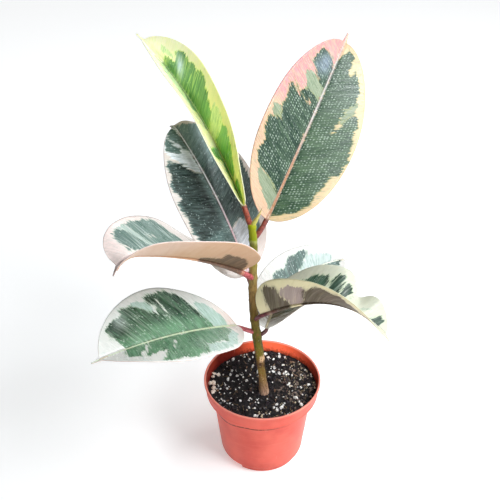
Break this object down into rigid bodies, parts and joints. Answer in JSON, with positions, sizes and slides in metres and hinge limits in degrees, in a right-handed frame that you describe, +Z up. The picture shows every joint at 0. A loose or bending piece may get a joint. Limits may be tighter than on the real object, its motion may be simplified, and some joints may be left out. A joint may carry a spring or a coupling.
{
  "type": "potted rubber plant",
  "caption": "Young variegated rubber plant with broad glossy leaves on one upright stem, rooted in a small terracotta-coloured plastic nursery pot.",
  "frame": {"origin": "middle of the pot's underside, on the surface that it stands on", "axes": "+Z up along the pot's axis; -Y is the front, towards the viewer; +X to the viewer's right"},
  "size_m": [0.2214, 0.2301, 0.3667],
  "materials": {
    "pot_plastic": "thin injection-moulded terracotta-coloured plastic, satin",
    "potting_mix": "damp black peat and bark mix with white perlite grains",
    "stem_bark": "brown and scarred at the soil, olive in the middle, smooth bright green at the top",
    "bud_skin": "smooth pale yellow-green sheath, satin",
    "leaf_skin": "stiff glossy leaf, dark green blotched with grey-green, cream and pink at the margin"
  },
  "bodies": {
    "root": {"pot": "pot_plastic", "soil": "potting_mix", "stem": "stem_bark", "bud_sheath": "bud_skin", "leaf_1": "leaf_skin", "leaf_2": "leaf_skin", "leaf_3": "leaf_skin", "leaf_4": "leaf_skin", "leaf_5": "leaf_skin", "leaf_6": "leaf_skin", "leaf_7": "leaf_skin"}
  },
  "joints": []
}
